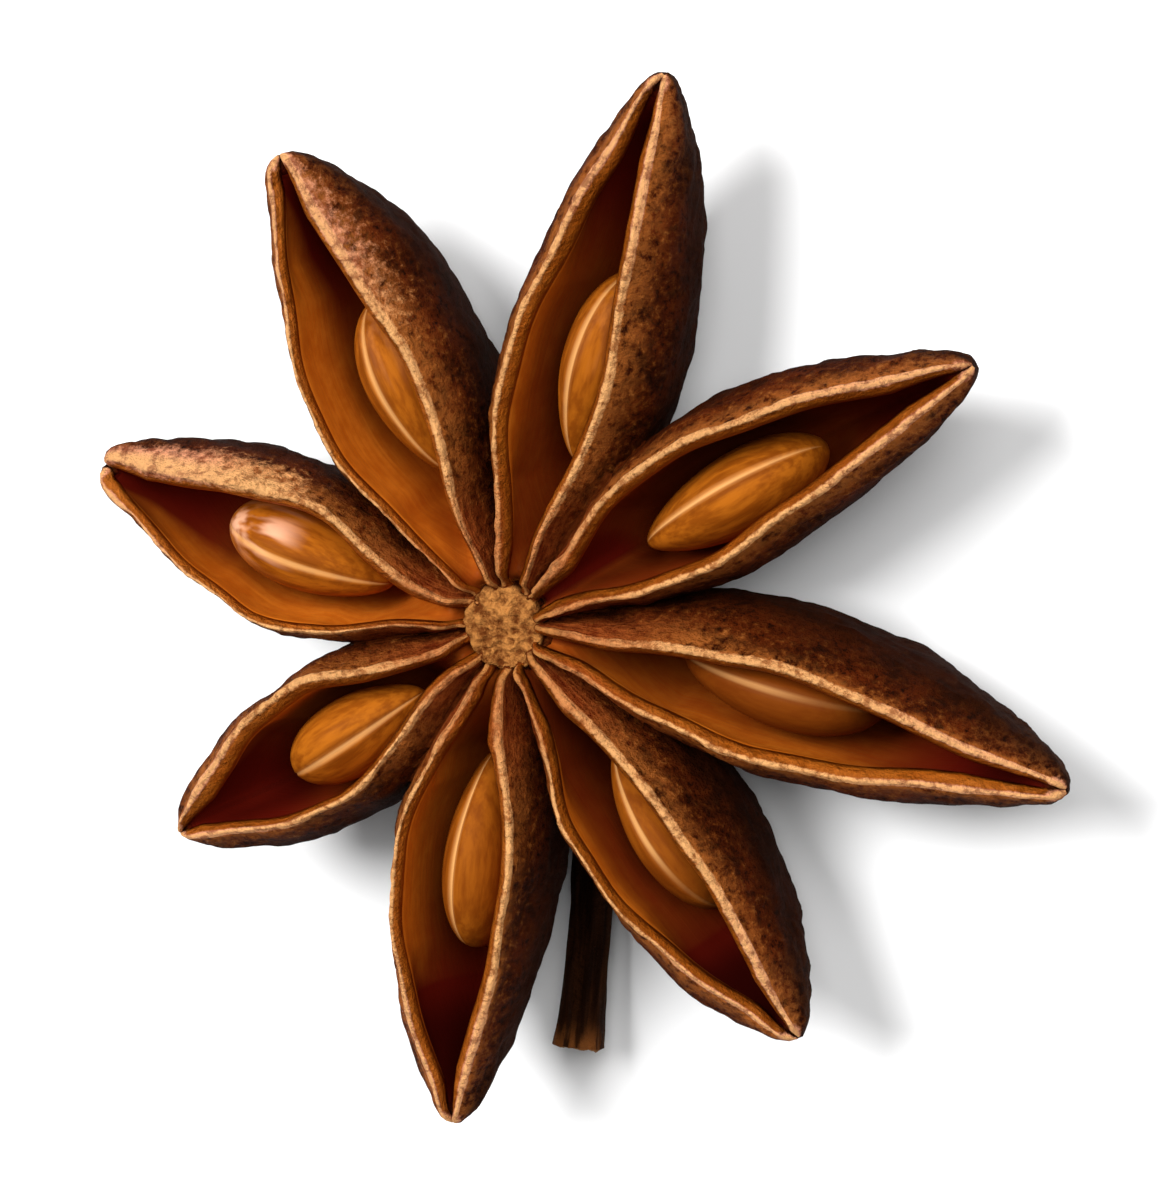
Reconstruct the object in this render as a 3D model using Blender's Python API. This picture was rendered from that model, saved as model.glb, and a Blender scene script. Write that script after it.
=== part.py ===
"""Star anise: a dried fruit of eight woody follicles joined round a short central column, each split open
along its upper seam over one seed, with the fruit's curved stalk below. Metres, +Z up."""

import math
from collections import namedtuple

import bmesh
import bpy
import numpy as np
from mathutils import Vector

MM = 0.001

# One follicle, in millimetres and degrees. The azimuth runs from +X towards +Y. Bow and lean move the
# middle of the lips and of the keel sideways, towards a larger azimuth, which is the left hand. Fuller is
# how much further each hand's wall bulges near the tip.
Follicle = namedtuple(
    "Follicle", "azimuth reach gape gape_at width bow lean tip_lift keel seed_at seed_side seed_length "
    "fuller_left fuller_right"
)
FOLLICLES = (
    Follicle(29, 18.3, 4.0, 0.44, 5.4, 0.45, 0.0, 0.2, 0.30, 0.445, -0.36, 6.8, 0.0, 0.0),
    Follicle(72, 18.8, 3.5, 0.46, 5.6, 0.25, -0.8, -0.3, 0.25, 0.45, -0.50, 6.6, 0.0, 0.0),
    Follicle(115, 16.8, 3.9, 0.50, 5.8, 0.35, -0.5, 0.3, -0.12, 0.465, -0.48, 6.2, 0.0, 0.45),
    Follicle(160, 14.6, 4.4, 0.50, 5.6, 0.35, 0.0, 0.2, 0.35, 0.47, 0.05, 5.8, 0.0, 0.2),
    Follicle(212, 13.4, 4.2, 0.52, 5.2, -0.05, 0.85, 0.4, 0.20, 0.465, 0.10, 5.2, 0.35, 0.3),
    Follicle(262, 16.6, 4.1, 0.48, 5.2, -0.45, 0.0, 0.1, -0.12, 0.44, 0.15, 6.6, 0.0, 0.35),
    Follicle(306, 16.2, 3.5, 0.50, 5.4, -0.25, 0.6, 0.0, 0.30, 0.49, 0.28, 6.3, 0.0, 0.5),
    Follicle(346, 19.3, 3.2, 0.46, 5.5, 0.05, 0.4, 0.1, -0.12, 0.45, 0.20, 6.8, 0.0, 0.0),
)

# Where the column's axis stands, so that the whole fruit is centred on the origin
COLUMN_AT = (-2.5, -0.75)
COLUMN_RADIUS = 1.35
COLUMN_TOP = 6.5
COLUMN_FOOT = 1.2
LIP_RISE = 1.3

# The follicle's wall, thinner near the column, and the flat cut edge along its lips
WALL = 0.65
ROOT_WALL = 0.45
KEEL_WALL = 1.0
LIP_WIDTH = 0.6
LIP_SLOPE = 0.15
KEEL_HALF_WIDTH = 0.4
KEEL_AT = 0.40
WIDEST_DEPTH = 0.36
ROOT_RADIUS = 0.7
ROOT_GAPE = 0.6
TIP_DEPTH = 0.9
FULLER_FROM = 0.55

# How far the dried walls and lips wander from a smooth boat shape
WALL_RIPPLE = 0.10
LIP_RIPPLE = 0.09

# A seed's thickness as a share of its follicle's width, and its height as a share of its length. Its
# outer end is blunt, and it tapers towards the column.
SEED_THICKNESS = 0.50
SEED_HEIGHT = 0.72
SEED_BELOW_LIP = 0.75
SEED_BLUNT = 1.07
SEED_TAPER = 0.38
SEED_UNDERCUT = 0.85

STALK_RADIUS = 0.72
STALK_PATH = ((0.0, 0.0, 2.2), (0.7, -2.6, 1.5), (1.05, -6.0, 1.1), (0.85, -10.0, 1.15), (0.5, -14.7, 1.9))

STATIONS = 26
WALL_STEPS = (0.0, 0.14, 0.34, 0.6, 0.85)
CAVITY_STEPS = (0.0, 0.22, 0.5, 0.8)


def clear_scene():
    for item in list(bpy.data.objects):
        bpy.data.objects.remove(item, do_unlink=True)


def plain_material(name, colour, roughness):
    material = bpy.data.materials.new(name)
    material.use_nodes = True
    shader = material.node_tree.nodes["Principled BSDF"]
    shader.inputs["Base Color"].default_value = (*colour, 1.0)
    shader.inputs["Roughness"].default_value = roughness
    shader.inputs["Metallic"].default_value = 0.0
    return material


def ease(x):
    """A smooth step from 0 to 1."""
    x = np.clip(x, 0.0, 1.0)
    return x * x * (3.0 - 2.0 * x)


def soft_min(a, b, blend):
    """The smaller of two lengths, with the corner between them rounded off over blend."""
    share = np.clip(0.5 + 0.5 * (b - a) / blend, 0.0, 1.0)
    return b * (1.0 - share) + a * share - blend * share * (1.0 - share)


def room_beside(follicle, hand, radius):
    """How far a follicle can widen on one hand, 1 or -1, before it passes halfway to its neighbour there."""
    turns = [hand * (other.azimuth - follicle.azimuth) % 360.0 for other in FOLLICLES if other is not follicle]
    return 0.06 + radius * math.tan(0.5 * math.radians(min(turns))) * 1.04


def follicle_form(follicle, q):
    """The sizes of a follicle at the share q of its length, from its root (0) to its tip (1)."""
    radius = ROOT_RADIUS + (follicle.reach - ROOT_RADIUS) * q
    before = np.clip((q - 0.05) / (follicle.gape_at - 0.05), 0.0, 1.0)
    after = np.clip((q - follicle.gape_at) / (1.0 - follicle.gape_at), 0.0, 1.0)
    opening = np.sin(0.5 * math.pi * before) * (1.0 - after**1.5)
    root_gape = 0.5 * ROOT_GAPE * (1.0 - 0.7 * q)
    gape = root_gape + (0.5 * follicle.gape - root_gape) * opening

    taper = np.clip((q - KEEL_AT) / (1.0 - KEEL_AT), 0.0, 1.0)
    width = 0.5 * follicle.width * (1.0 - taper**1.9) ** 0.85 + 0.2 * taper

    lip = COLUMN_TOP + LIP_RISE * np.sin(math.pi * q**0.9) ** 0.9 + follicle.tip_lift * q * q
    tip = COLUMN_TOP + follicle.tip_lift - TIP_DEPTH
    toe = np.clip(1.0 - q / KEEL_AT, 0.0, 1.0)
    keel = follicle.keel + (COLUMN_FOOT - follicle.keel) * toe**2 + (tip - follicle.keel) * taper**2.3
    side = follicle.bow * np.sin(math.pi * q)
    return radius, side, gape, width, lip, keel


def ripple(follicle, q, row):
    """A slow unevenness between -1 and 1 along a follicle, other on each row of its wall and gone at its ends."""
    phase = follicle.azimuth + 1.3 * row
    wave = 0.6 * math.sin(13.0 * q + phase) + 0.4 * math.sin(29.0 * q + 2.3 * phase)
    return wave * math.sin(math.pi * q) ** 0.5


def half_width(depth, edge, widest, foot):
    """Half the width of a hollow or solid form at a share of its depth: edge at the top, then widest, then foot."""
    above = edge + (widest - edge) * math.sin(0.5 * math.pi * min(depth / WIDEST_DEPTH, 1.0))
    below = max(depth - WIDEST_DEPTH, 0.0) / (1.0 - WIDEST_DEPTH)
    return above if below <= 0.0 else foot + (widest - foot) * (1.0 - below**1.8) ** 0.75


def follicle_ring(follicle, q):
    """One cross-section of a follicle, from its left lip round the keel to its right lip and back inside."""
    radius, side, gape, width, lip, keel = follicle_form(follicle, q)
    depth = lip - keel
    wall_thickness = ROOT_WALL + (WALL - ROOT_WALL) * ease((radius - 3.0) / 4.0)
    inner_gape = max(gape - LIP_WIDTH, 0.4 * gape)
    opened = ease((radius - COLUMN_RADIUS) / 4.0) * (1.0 - ease((q - 0.8) / 0.2))
    floor = lip - LIP_SLOPE - max((depth - KEEL_WALL - LIP_SLOPE) * (0.12 + 0.88 * opened), 0.1)
    cavity_depth = lip - LIP_SLOPE - floor

    def valve(hand):
        """The outer and inner outline of the valve on one hand, 1 or -1, from its lip down."""
        wide = max(soft_min(room_beside(follicle, hand, radius), width, 1.0), gape + 0.12)
        inner_width = max(wide - wall_thickness, 0.42 * wide, inner_gape + 0.02)
        foot = min(KEEL_HALF_WIDTH, 0.35 * wide)
        fuller = follicle.fuller_left if hand > 0 else follicle.fuller_right
        widest = wide + fuller * math.sin(math.pi * max(q - FULLER_FROM, 0.0) / (1.0 - FULLER_FROM))
        rise = LIP_RIPPLE * ripple(follicle, q, 3 * hand)
        shift = LIP_RIPPLE * ripple(follicle, q, 5 * hand)
        wall = []
        for row, v in enumerate(WALL_STEPS):
            swell = WALL_RIPPLE * ripple(follicle, q, hand * row) * math.sin(math.pi * v)
            y = half_width(v, gape, widest, foot) + swell + shift * (1.0 - v)
            wall.append((hand * y, lip + rise * (1.0 - v) - depth * v))
        wall.append((hand * foot, keel))
        cavity = []
        for v in CAVITY_STEPS:
            y = half_width(v, inner_gape, inner_width, 0.45 * foot) + shift * (1.0 - v)
            cavity.append((hand * y, lip + rise * (1.0 - v) - LIP_SLOPE - cavity_depth * v))
        cavity.append((hand * 0.45 * foot, floor))
        return wall, cavity

    left_wall, left_cavity = valve(1)
    right_wall, right_cavity = valve(-1)
    outline = left_wall + right_wall[::-1] + right_cavity + left_cavity[::-1]

    points = []
    angle = math.radians(follicle.azimuth)
    along = Vector((math.cos(angle), math.sin(angle), 0.0))
    across = Vector((-math.sin(angle), math.cos(angle), 0.0))
    for y, z in outline:
        lean = follicle.lean * math.sin(math.pi * q) * (lip - z) / depth
        point = along * radius + across * (side + y + lean)
        points.append((point.x, point.y, max(z, 0.0)))
    return points


def lofted(name, rings):
    """A closed mesh object through rings of points, in millimetres round the column's axis."""
    mesh = bpy.data.meshes.new(name)
    shape = bmesh.new()
    offset = Vector((*COLUMN_AT, 0.0))
    loops = [[shape.verts.new((Vector(point) + offset) * MM) for point in ring] for ring in rings]
    count = len(loops[0])
    for first, second in zip(loops, loops[1:]):
        for i in range(count):
            j = (i + 1) % count
            shape.faces.new((first[i], first[j], second[j], second[i]))
    shape.faces.new(loops[0])
    shape.faces.new(loops[-1])
    bmesh.ops.recalc_face_normals(shape, faces=shape.faces)
    shape.to_mesh(mesh)
    shape.free()
    piece = bpy.data.objects.new(name, mesh)
    bpy.context.scene.collection.objects.link(piece)
    return piece


def follicle_solid(number, follicle):
    stations = (i / (STATIONS - 1) for i in range(STATIONS))
    rings = [follicle_ring(follicle, 1.0 - (1.0 - q) ** 1.15) for q in stations]
    return lofted(f"follicle_{number}", rings)


def round_ring(centre, side, up, radius, sides):
    turns = (2.0 * math.pi * i / sides for i in range(sides))
    return [centre + radius * (math.cos(turn) * side + math.sin(turn) * up) for turn in turns]


def column_solid():
    """The column between the roots of the follicles, wider below where the stalk meets it."""
    profile = ((0.7, 0.9), (1.9, 1.2), (2.0, 2.0), (COLUMN_RADIUS, 3.4), (COLUMN_RADIUS, COLUMN_TOP - 0.2),
               (0.8 * COLUMN_RADIUS, COLUMN_TOP))
    side, up = Vector((1.0, 0.0, 0.0)), Vector((0.0, 1.0, 0.0))
    return lofted("column", [round_ring(Vector((0.0, 0.0, z)), side, up, r, 18) for r, z in profile])


def curve_point(points, share):
    """A point on a smooth curve through the given points."""
    spans = len(points) - 1
    at = min(int(share * spans), spans - 1)
    t = share * spans - at
    a, b, c, d = (Vector(points[min(max(at + k, 0), spans)]) for k in (-1, 0, 1, 2))
    return 0.5 * (2 * b + (c - a) * t + (2 * a - 5 * b + 4 * c - d) * t**2 + (3 * b - a - 3 * c + d) * t**3)


def stalk_solid():
    """The curved stalk, a little thicker where it leaves the column and at its broken end."""
    steps = 15
    rings = []
    for i in range(steps + 1):
        share = i / steps
        centre = curve_point(STALK_PATH, share)
        ahead = curve_point(STALK_PATH, min(share + 0.01, 1.0)) - curve_point(STALK_PATH, max(share - 0.01, 0.0))
        side = ahead.cross(Vector((0.0, 0.0, 1.0))).normalized()
        up = side.cross(ahead).normalized()
        radius = STALK_RADIUS * (1.0 + 0.5 * (1.0 - share) ** 4 + 0.22 * share**8)
        rings.append(round_ring(centre, side, up, radius, 12))
    return lofted("stalk", rings)


def fused(name, pieces, material):
    """The pieces joined into the first of them by one union."""
    body, others = pieces[0], pieces[1:]
    group = bpy.data.collections.new(f"{name}_parts")
    bpy.context.scene.collection.children.link(group)
    for piece in others:
        bpy.context.scene.collection.objects.unlink(piece)
        group.objects.link(piece)
    union = body.modifiers.new("union", "BOOLEAN")
    union.operation = "UNION"
    union.operand_type = "COLLECTION"
    union.collection = group
    union.solver = "EXACT"
    graph = bpy.context.evaluated_depsgraph_get()
    joined = bpy.data.meshes.new_from_object(body.evaluated_get(graph))
    body.modifiers.clear()
    body.data = joined
    body.name = name
    for piece in others:
        bpy.data.objects.remove(piece, do_unlink=True)
    bpy.data.collections.remove(group)
    joined.materials.clear()
    joined.materials.append(material)
    joined.shade_smooth()
    joined.set_sharp_from_angle(angle=math.radians(50))
    return body


def build_fruit(material):
    solids = [column_solid(), stalk_solid()]
    solids += [follicle_solid(i + 1, follicle) for i, follicle in enumerate(FOLLICLES)]
    return fused("fruit", solids, material)


def build_seed(number, follicle, material):
    """A flattened egg-shaped seed standing on its edge in its follicle, narrower below."""
    radius, side, _, _, lip, keel = follicle_form(follicle, follicle.seed_at)
    tall = SEED_HEIGHT * follicle.seed_length
    height = lip - SEED_BELOW_LIP - 0.5 * tall
    lean = follicle.lean * math.sin(math.pi * follicle.seed_at) / (lip - keel)
    side += follicle.seed_side + lean * (lip - height)
    mesh = bpy.data.meshes.new(f"seed_{number}")
    shape = bmesh.new()
    bmesh.ops.create_uvsphere(shape, u_segments=18, v_segments=10, radius=0.5)
    size = Vector((follicle.seed_length, SEED_THICKNESS * follicle.width, tall)) * MM
    for vertex in shape.verts:
        x, y, z = vertex.co
        taper = SEED_BLUNT - SEED_TAPER * (0.5 - x) ** 2
        narrow = 1.0 - SEED_UNDERCUT * max(-z, 0.0)
        vertex.co = Vector((x * size.x, y * size.y * taper * narrow - lean * z * size.z, z * size.z * taper))
    shape.to_mesh(mesh)
    shape.free()
    mesh.materials.append(material)
    mesh.shade_smooth()
    seed = bpy.data.objects.new(f"seed_{number}", mesh)
    angle = math.radians(follicle.azimuth)
    seed.location = Vector((
        COLUMN_AT[0] + radius * math.cos(angle) - side * math.sin(angle),
        COLUMN_AT[1] + radius * math.sin(angle) + side * math.cos(angle),
        height,
    )) * MM
    seed.rotation_euler = (0.0, 0.0, angle)
    bpy.context.scene.collection.objects.link(seed)
    return seed


def main():
    clear_scene()
    wood = plain_material("follicle_wood", (0.20, 0.085, 0.035), 0.75)
    coat = plain_material("seed_coat", (0.42, 0.17, 0.035), 0.3)
    build_fruit(wood)
    for i, follicle in enumerate(FOLLICLES):
        build_seed(i + 1, follicle, coat)


main()
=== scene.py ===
"""The looks of the star anise: the fruit with its rough walls, crumbled lips and smooth hollows, its glossy
seeds, the table, the light and the camera. Sizes are in millimetres unless a name says otherwise."""

import math
from collections import namedtuple

import bpy
import numpy as np
from mathutils import Matrix, Vector, noise


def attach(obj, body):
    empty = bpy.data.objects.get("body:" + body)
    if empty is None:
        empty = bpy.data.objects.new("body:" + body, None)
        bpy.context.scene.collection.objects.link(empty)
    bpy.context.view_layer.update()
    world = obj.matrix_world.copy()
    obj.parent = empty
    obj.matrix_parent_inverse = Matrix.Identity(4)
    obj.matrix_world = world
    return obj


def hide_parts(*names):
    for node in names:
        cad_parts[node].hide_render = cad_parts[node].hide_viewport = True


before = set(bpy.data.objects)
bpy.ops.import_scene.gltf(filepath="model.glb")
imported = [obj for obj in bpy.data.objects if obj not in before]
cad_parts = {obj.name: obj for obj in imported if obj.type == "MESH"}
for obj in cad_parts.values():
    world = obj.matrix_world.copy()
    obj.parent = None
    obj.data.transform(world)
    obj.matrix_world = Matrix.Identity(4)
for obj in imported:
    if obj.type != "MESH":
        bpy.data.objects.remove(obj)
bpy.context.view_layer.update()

MM = 0.001

# The fruit's forms, as in the part's source
Follicle = namedtuple(
    "Follicle", "azimuth reach gape gape_at width bow lean tip_lift keel seed_at seed_side seed_length "
    "fuller_left fuller_right"
)
FOLLICLES = (
    Follicle(29, 18.3, 4.0, 0.44, 5.4, 0.45, 0.0, 0.2, 0.30, 0.445, -0.36, 6.8, 0.0, 0.0),
    Follicle(72, 18.8, 3.5, 0.46, 5.6, 0.25, -0.8, -0.3, 0.25, 0.45, -0.50, 6.6, 0.0, 0.0),
    Follicle(115, 16.8, 3.9, 0.50, 5.8, 0.35, -0.5, 0.3, -0.12, 0.465, -0.48, 6.2, 0.0, 0.45),
    Follicle(160, 14.6, 4.4, 0.50, 5.6, 0.35, 0.0, 0.2, 0.35, 0.47, 0.05, 5.8, 0.0, 0.2),
    Follicle(212, 13.4, 4.2, 0.52, 5.2, -0.05, 0.85, 0.4, 0.20, 0.465, 0.10, 5.2, 0.35, 0.3),
    Follicle(262, 16.6, 4.1, 0.48, 5.2, -0.45, 0.0, 0.1, -0.12, 0.44, 0.15, 6.6, 0.0, 0.35),
    Follicle(306, 16.2, 3.5, 0.50, 5.4, -0.25, 0.6, 0.0, 0.30, 0.49, 0.28, 6.3, 0.0, 0.5),
    Follicle(346, 19.3, 3.2, 0.46, 5.5, 0.05, 0.4, 0.1, -0.12, 0.45, 0.20, 6.8, 0.0, 0.0),
)
COLUMN_AT = (-2.5, -0.75)
COLUMN_TOP = 6.5
COLUMN_FOOT = 1.2
LIP_RISE = 1.3
WALL = 0.65
ROOT_WALL = 0.8
KEEL_WALL = 1.0
LIP_SLOPE = 0.15
KEEL_HALF_WIDTH = 0.4
KEEL_AT = 0.40
WIDEST_DEPTH = 0.36
ROOT_RADIUS = 0.7
ROOT_GAPE = 0.6
TIP_DEPTH = 0.9
FULLER_FROM = 0.55
WALL_RIPPLE = 0.10
LIP_RIPPLE = 0.09
RIPPLE_ROWS = (0.0, 0.14, 0.34, 0.6, 0.85)
SEED_THICKNESS = 0.50
SEED_HEIGHT = 0.72
SEED_BELOW_LIP = 0.75
SEED_BLUNT = 1.07
SEED_TAPER = 0.38
SEED_UNDERCUT = 0.85
SEED_SPACE = 0.3
STALK_RADIUS = 0.72
STALK_PATH = ((0.0, 0.0, 2.2), (0.7, -2.6, 1.5), (1.05, -6.0, 1.1), (0.85, -10.0, 1.15), (0.5, -14.7, 1.9))

# How finely the pieces are drawn: a follicle's stations, close together up to a radius by its root, its
# rows down the wall and into the hollow as shares of the depth, and the other pieces' rings and sides
FIRST_STATION = 0.95
CLOSE_STATIONS_END = 2.4
ROOT_STATIONS = 20
STATIONS = 104
WALL_ROWS = np.concatenate(([0.0, 0.011, 0.025, 0.045, 0.07], np.linspace(0.10, 0.95, 21), [1.0]))
CAVITY_ROWS = np.concatenate((np.linspace(0.04, 0.30, 4), np.linspace(0.42, 0.9, 4), [1.0]))
COLUMN_SIDES = 120
STALK_RINGS, STALK_SIDES = 90, 44
SEED_RINGS, SEED_SIDES = 60, 90

# How far the lip's bevel reaches inwards: by the column, how much further there above a dark hollow, midway
# and by the tip
ROOT_BAND = 0.42
SHADED_ROOT_BAND = 0.30
LIP_BAND = 0.54
TIP_BAND = 0.70

# The bevel's rows from the outer edge inwards: how far in, as a share of its width, and how far up
LIP_PROFILE = (
    (0.04, 0.03), (0.16, 0.065), (0.32, 0.075), (0.48, 0.045),
    (0.62, -0.02), (0.75, -0.10), (0.88, -0.20), (1.0, -0.32),
)

# How far each of these rows counts as the pale crest, as the hollow's inside, and as the crest by the
# column
CREST_SHARE = (0.85, 1.0, 0.9, 0.45, 0.15, 0.05, 0.0, 0.0)
INSIDE_SHARE = (0.0, 0.0, 0.1, 0.3, 0.42, 0.5, 0.7, 1.0)
ROOT_CREST = (0.9, 1.0, 0.9, 0.62, 0.42, 0.28, 0.12, 0.0)

# How far down the wall the crest runs, as a share of its depth, and how much further below a narrow lip
CREST_OVER = 0.026
NARROW_CREST_OVER = 0.8

# The next tables have a value for each follicle, in the order above. A pair is for its left and right hand,
# looking outward.

# How broad its lips are midway and by the column, as a share of the full breadth
LIP_BREADTH = (
    (0.85, 0.80), (0.85, 0.75), (0.50, 0.80), (0.50, 0.90),
    (0.60, 1.00), (0.80, 0.60), (0.80, 0.60), (0.75, 0.80),
)
ROOT_BREADTH = (
    (1.00, 0.70), (0.80, 0.50), (0.60, 0.45), (0.55, 1.10),
    (0.70, 0.50), (1.20, 0.90), (1.00, 0.70), (0.60, 0.85),
)

# How much darker its walls are than the light alone makes them
WALL_SHADE = (
    (0.00, 0.00), (0.00, 0.00), (0.00, 0.00), (0.00, 0.00),
    (0.05, 0.00), (0.08, 0.00), (0.05, 0.00), (0.11, 0.05),
)

# How far its lips are drawn in towards its seam beside the column
ROOT_PINCH = (
    (0.00, 0.00), (0.00, 0.05), (0.00, 0.15), (0.15, 0.30),
    (0.32, 0.40), (0.20, 0.00), (0.00, 0.30), (0.10, 0.00),
)

# How pale and crumbled its walls are towards its tip
CRUMBLED = (
    (0.15, 0.10), (0.10, 0.20), (0.10, 0.72), (0.15, 1.05),
    (0.20, 0.25), (0.45, 0.20), (0.20, 0.20), (0.10, 0.15),
)

# How far from the axis its lips end, beside the column's top
LIP_ENDS = (
    (1.40, 1.00), (1.45, 1.40), (1.45, 1.20), (1.50, 1.45),
    (1.45, 1.50), (1.30, 1.50), (1.00, 1.15), (0.95, 1.00),
)

# How much wider its blunt tip is than its taper makes it, and how deep the notch in it is
BLUNT_TIPS = (0.10, 0.06, 0.16, 0.26, 0.05, 0.06, 0.08, 0.10)
NOTCHES = (0.10, 0.06, 0.10, 0.30, 0.04, 0.08, 0.06, 0.12)

# How soon painted shade darkens its hollow below the lips, how much painted shade it has beside the column,
# and how much by its tip. The full shaded amber is 1, and more is darker still.
HOLLOW_SHADE = (0.78, 0.68, 0.10, 0.05, 0.60, 0.45, 0.80, 0.45)
ROOT_SHADE = (
    (1.00, 0.60), (0.60, 0.80), (0.15, 0.30), (0.00, 0.15),
    (0.10, 0.60), (0.60, 0.40), (0.90, 0.80), (0.90, 0.30),
)
PALEST_TIP = 0.85
TIP_SHADE = (PALEST_TIP, 1.15, PALEST_TIP, PALEST_TIP, PALEST_TIP, 1.35, 1.40, 1.25)

# Its seed: the ridge's place round the seed in radians, how much painted shade darkens its outer end and
# fades the ridge there, how much painted shade lies over its whole coat, and its painted highlight streaks
SEED_RIDGE = (0.35, 0.30, 0.25, 0.1, 0.3, -0.35, -0.1, 0.25)
SEED_OUTER_SHADE = (0.15, 0.0, 0.0, 0.0, 0.0, 0.0, 0.7, 0.7)
SEED_SHADE = (0.0, 0.2, 0.1, 0.0, 0.0, 0.50, 0.60, 1.0)
SEED_SHEEN = (0.0, 0.04, 0.06, 0.9, 0.0, 0.0, 0.0, 0.0)

# Smooth changes along a follicle, each as where it starts and how far on it is complete. These are radii.
THICK_WALL_ENDS = (3.0, 4.0)
ROOT_LOOK_ENDS = (2.6, 3.4)
SPREAD_ENDS = (1.3, 2.4)
PINCH_STARTS = (1.2, 0.9)
PINCH_ENDS = (3.0, 3.6)
HOLLOW_OPENS = (1.7, 3.6)

# And these are shares of the length, from 0 at the root to 1 at the tip
TIP_LOOK = (0.5, 0.4)
WALL_SHADE_STARTS = (0.3, 0.2)
BLUNT_STARTS = (0.86, 0.12)
HOLLOW_CLOSES = (0.86, 0.14)
NOTCH_STARTS = (0.93, 0.05)
SEAM_CLOSES = (0.95, 0.035)
DEEP_SHADE_STARTS = (0.3, 0.5)
COLUMN_SHADE_ENDS = (0.06, 0.13)
ROOT_SHADE_ENDS = (0.17, 0.16)

# Where the crumbled look starts along a follicle, how much sooner on a very crumbled wall, over how much of
# the length it grows, and how far down the wall it reaches as a share of the depth
CRUMBLED_FROM = 0.5
CRUMBLED_SOONER = 0.2
CRUMBLED_OVER = 0.3
CRUMBLED_DOWN = 0.45

# Where a hollow's dark tip starts, over how much of the length, and what a darker one adds to both
TIP_SHADE_FROM, TIP_SHADE_SOONER = 0.68, 0.28
TIP_SHADE_OVER, TIP_SHADE_LONGER = 0.24, 0.12

# How a hollow darkens below its lips: its start and length in depth, its share where the hollow is palest,
# and how much of its shade the bevel's inner rows take
DEPTH_SHADE = (0.16, 0.46)
PALE_DEPTH_SHADE = 0.45
RIM_SHADE = 0.5

# The follicle's joint with the column: how much wider the seam is, the room it leaves up to a neighbour,
# how softly it and the walls meet that limit, and how far the walls run into the neighbour's
ROOT_SPREAD = 0.22
SEAM_ROOM = 0.08
SEAM_BLEND = 0.16
ROOM_BLEND = 1.0
OVERLAP = 0.06
OVERLAP_SHARE = 1.04

# The least sizes that keep a follicle's surfaces apart, in millimetres or as a share of what is beside them
SLIVER = 0.02
LEAST_WALL = 0.12
LEAST_CAVITY = 0.12
LEAST_FLOOR = 0.1
LEAST_INNER_GAPE = 0.3
LEAST_HOLLOW = 0.42
SHALLOW_FLOOR = 0.12
KEEL_SHARE = 0.35
HOLLOW_FOOT = 0.45
HOLLOW_WIDEST_DEPTH = 0.2

# The rounded beak's length, the notch's half width and its depth below the lips
BEAK = 0.5
NOTCH_HALF_WIDTH = 0.14
NOTCH_DEPTH = 1.2
NOTCH_FADE = 0.6

# The lips' ends beside the column: how far they dip, the swelling before the dip, and how deep both reach
END_DIP = 0.5
END_SWELLING = 0.07
SWELLING_AT = 0.45
SWELLING_LENGTH = 0.22
END_DEPTH = 2.5

# Moves the grain of each right-hand valve so that it isn't the left one's mirror image
OTHER_HAND = 40.0

# How far the surface moves in or out with each kind of unevenness
WRINKLES, LUMPS, FINE = 0.075, 0.06, 0.035
KEEL_FRILL = 0.10
BEADS, CHIPS = 0.06, 0.06
HOLLOW_SWELL, HOLLOW_FINE = 0.035, 0.006

# The column's outline as radius and height, from its flared foot to the edge of its top, the rings of its
# top, and how far these lie below the column's full height
COLUMN_OUTLINE = (
    (1.6, 0.9), (1.9, 1.2), (2.0, 2.0), (1.9, 3.4), (2.1, 4.2), (2.15, 4.7), (2.05, 5.0), (1.95, 5.2),
    (1.82, 5.36), (1.68, 5.5), (1.56, 5.66), (1.45, 5.86), (1.36, 6.12), (1.29, 6.34),
)
TOP_RADII = np.linspace(1.17, 0.04, 19)
TOP_SUNK = 0.08

# Its rough top: where it ends, its knobs and its lobed edge, and the ridges on the flare beside it
DISC_EDGE = (1.15, 0.4)
DISC_FROM_HEIGHT = 5.0
DISC_KNOBS = 0.17
DISC_LOBES = 0.10
ROOT_RIDGES = 0.14

# Where the column's top runs on between the lips, as an azimuth in degrees, over what angle in radians, and
# how high it fills the valleys there
FILLED_AT = 325
FILLED_ANGLE = 0.75
FILLED = 0.55

# The stalk: its flare at the column, its swollen end, its twist in radians, its ridges and its uneven bark
STALK_FLARE = 0.5
STALK_SWOLLEN = 0.22
STALK_TWIST = 1.5
STALK_RIDGES = ((6.0, 0.05), (11.0, 0.03))
STALK_UNEVEN = 0.07
STALK_CAP_RINGS = (0.92, 0.8, 0.62, 0.42, 0.22, 0.06)
STALK_ABOVE_TABLE = 0.05

# A seed's ridge and the groove on each side of it: half widths in radians, and how far they rise or sink
RIDGE_WIDTH, RIDGE_HEIGHT = 0.06, 0.045
GROOVE_AT, GROOVE_WIDTH, GROOVE_DEPTH = 0.17, 0.07, 0.02
SEED_SWELL = 0.02
POLE = 0.012

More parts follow.
